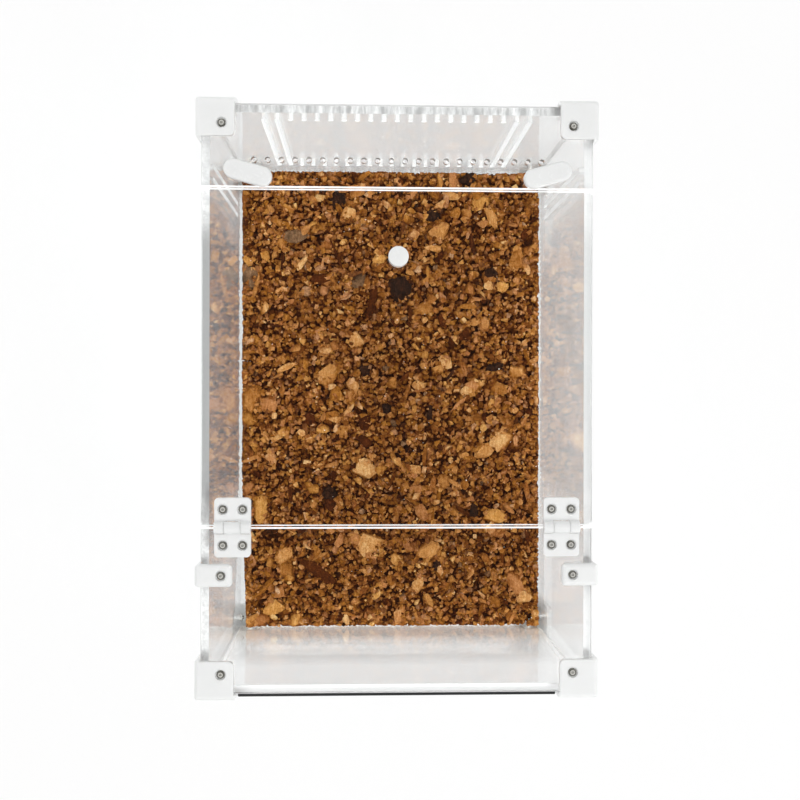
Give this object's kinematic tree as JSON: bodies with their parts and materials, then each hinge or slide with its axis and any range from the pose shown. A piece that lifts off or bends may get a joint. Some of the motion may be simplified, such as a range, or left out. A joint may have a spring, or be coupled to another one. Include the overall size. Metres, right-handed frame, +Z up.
{
  "type": "ant habitat",
  "caption": "Clear acrylic box for keeping ants, held by moulded corner caps, with side and rear vents, a hinged lid door, two turn latches and a bed of cork chips.",
  "frame": {"origin": "centre of the footprint, on the surface that the lower corner caps stand on", "axes": "+X to the right, +Y to the rear, along the box's length, +Z up"},
  "size_m": [0.2056, 0.3056, 0.1603],
  "materials": {
    "clear_acrylic": "clear, polished",
    "milky_plastic": "moulded, slightly see-through, satin",
    "white_plastic": "moulded, glossy",
    "steel": "plated",
    "cork_chips": "loose cork and bark chips",
    "dark_rubber": "matt"
  },
  "bodies": {
    "root": {"base_panel": "clear_acrylic", "front_wall": "clear_acrylic", "rear_wall": "clear_acrylic", "left_wall": "clear_acrylic", "right_wall": "clear_acrylic", "lid_rear_strip": "clear_acrylic", "lid_front_strip": "clear_acrylic", "cap_top_rear_left": "milky_plastic", "cap_top_rear_right": "milky_plastic", "cap_top_front_left": "milky_plastic", "cap_top_front_right": "milky_plastic", "cap_foot_rear_left": "milky_plastic", "cap_foot_rear_right": "milky_plastic", "cap_foot_front_left": "milky_plastic", "cap_foot_front_right": "milky_plastic", "side_clip_left": "milky_plastic", "side_clip_right": "milky_plastic", "hinge_fixed_left": "milky_plastic", "hinge_fixed_right": "milky_plastic", "latch_washer_left": "white_plastic", "latch_washer_right": "white_plastic", "corner_screws": "steel", "clip_screws": "steel", "hinge_fixed_screws": "steel", "corner_nuts": "steel", "clip_nuts": "steel", "hinge_fixed_nuts": "steel", "hinge_pin_left": "steel", "hinge_pin_right": "steel", "substrate": "cork_chips", "front_edge_strip": "dark_rubber"},
    "door": {"door_panel": "clear_acrylic", "hinge_door_left": "milky_plastic", "hinge_door_right": "milky_plastic", "hinge_door_screws": "steel", "hinge_door_nuts": "steel", "knob": "white_plastic", "knob_screw": "steel"},
    "latch_left": {"latch_left": "white_plastic", "latch_screw_left": "steel"},
    "latch_right": {"latch_right": "white_plastic", "latch_screw_right": "steel"}
  },
  "joints": [
    {"name": "door_hinge", "type": "hinge", "parent": "root", "child": "door", "pos_m": [0, -0.0651, 0.1559], "axis": [1, 0, 0], "range_deg": [0, 175]},
    {"name": "latch_left_turn", "type": "hinge", "parent": "root", "child": "latch_left", "pos_m": [-0.0825, 0.116, 0.15335], "axis": [0, 0, 1], "range_deg": [-67, 95]},
    {"name": "latch_right_turn", "type": "hinge", "parent": "root", "child": "latch_right", "pos_m": [0.0825, 0.116, 0.15335], "axis": [0, 0, -1], "range_deg": [-67, 95]}
  ]
}
